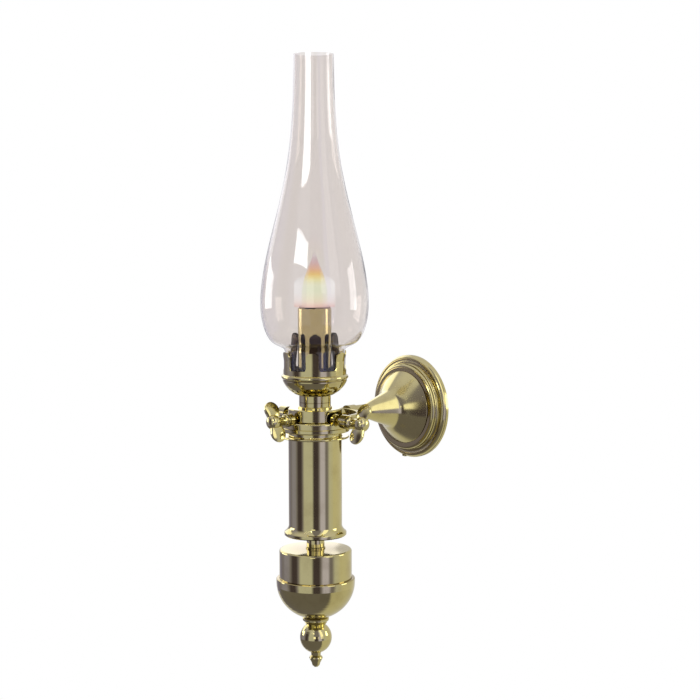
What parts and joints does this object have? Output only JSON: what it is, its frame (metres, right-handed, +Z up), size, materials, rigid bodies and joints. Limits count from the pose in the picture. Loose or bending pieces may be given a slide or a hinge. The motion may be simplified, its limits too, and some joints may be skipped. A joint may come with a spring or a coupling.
{
  "type": "gimballed wall oil lamp",
  "caption": "Brass wall oil lamp: a moulded rose and trumpet arm carry a yoke and gimbal ring, in which a slim lamp with a glass chimney and a ball-ended counterweight hangs level.",
  "frame": {"origin": "centre of the mounting disc's back face, which lies on the wall", "axes": "+Z up, +Y into the wall, -Y into the room, +X to the right of someone facing the wall"},
  "size_m": [0.0875, 0.1302, 0.4105],
  "materials": {
    "brass": "polished",
    "polished_brass": "bright",
    "burner_brass": "satin",
    "plated_steel": "satin",
    "iron": "rough",
    "wick": "woven cotton",
    "glass": "clear"
  },
  "bodies": {
    "bracket": {"wall_disc": "plated_steel", "wall_rose": "brass", "rose_screw": "polished_brass", "arm": "brass", "arm_washer": "plated_steel", "arm_nut": "plated_steel", "yoke": "brass", "left_pivot_screw": "polished_brass"},
    "yoke_thumb_screw": {"right_wing_screw": "polished_brass"},
    "gimbal": {"gimbal_ring": "brass", "rear_pivot_screw": "polished_brass"},
    "ring_thumb_screw": {"front_wing_screw": "polished_brass"},
    "lamp": {"pivot_collar": "brass", "lamp_tube": "brass", "tube_foot": "plated_steel", "oil_font": "brass", "burner_neck": "brass", "burner_bowl": "brass", "draught_plate": "burner_brass", "gallery": "brass", "spring_fingers": "burner_brass", "wick_tube": "burner_brass", "winder_bush": "burner_brass", "weight_stem": "brass", "weight_drum": "brass", "weight_bowl": "brass", "weight_core": "iron", "finial": "brass"},
    "winder": {"winder_shaft": "plated_steel", "winder_cog": "plated_steel", "winder_knob": "polished_brass"},
    "wick": {"wick": "wick"},
    "chimney": {"chimney": "glass"}
  },
  "joints": [
    {"name": "yoke_screw_turn", "type": "hinge", "parent": "bracket", "child": "yoke_thumb_screw", "pos_m": [0.04, -0.09, 0], "axis": [1, 0, 0], "range_deg": [0, 270]},
    {"name": "ring_swing", "type": "hinge", "parent": "bracket", "child": "gimbal", "pos_m": [0, -0.09, 0], "axis": [1, 0, 0], "range_deg": [-15, 25]},
    {"name": "ring_screw_turn", "type": "hinge", "parent": "gimbal", "child": "ring_thumb_screw", "pos_m": [0, -0.12, 0], "axis": [0, -1, 0], "range_deg": [0, 270]},
    {"name": "lamp_swing", "type": "hinge", "parent": "gimbal", "child": "lamp", "pos_m": [0, -0.09, 0], "axis": [0, 1, 0], "range_deg": [-7, 7]},
    {"name": "winder_turn", "type": "hinge", "parent": "lamp", "child": "winder", "pos_m": [-0.00925, -0.10064, 0.0222], "axis": [0.7547, -0.6561, 0], "range_deg": [-90, 90]},
    {"name": "wick_rise", "type": "slide", "parent": "lamp", "child": "wick", "axis": [0, 0, 1], "range_m": [-0.0053, 0.0053]},
    {"name": "chimney_lift", "type": "slide", "parent": "lamp", "child": "chimney", "axis": [0, 0, 1], "range_m": [0, 0.05]}
  ],
  "couplings": [
    {"joint": "winder_turn", "follows": "wick_rise", "rad_per_m": 294.1}
  ]
}
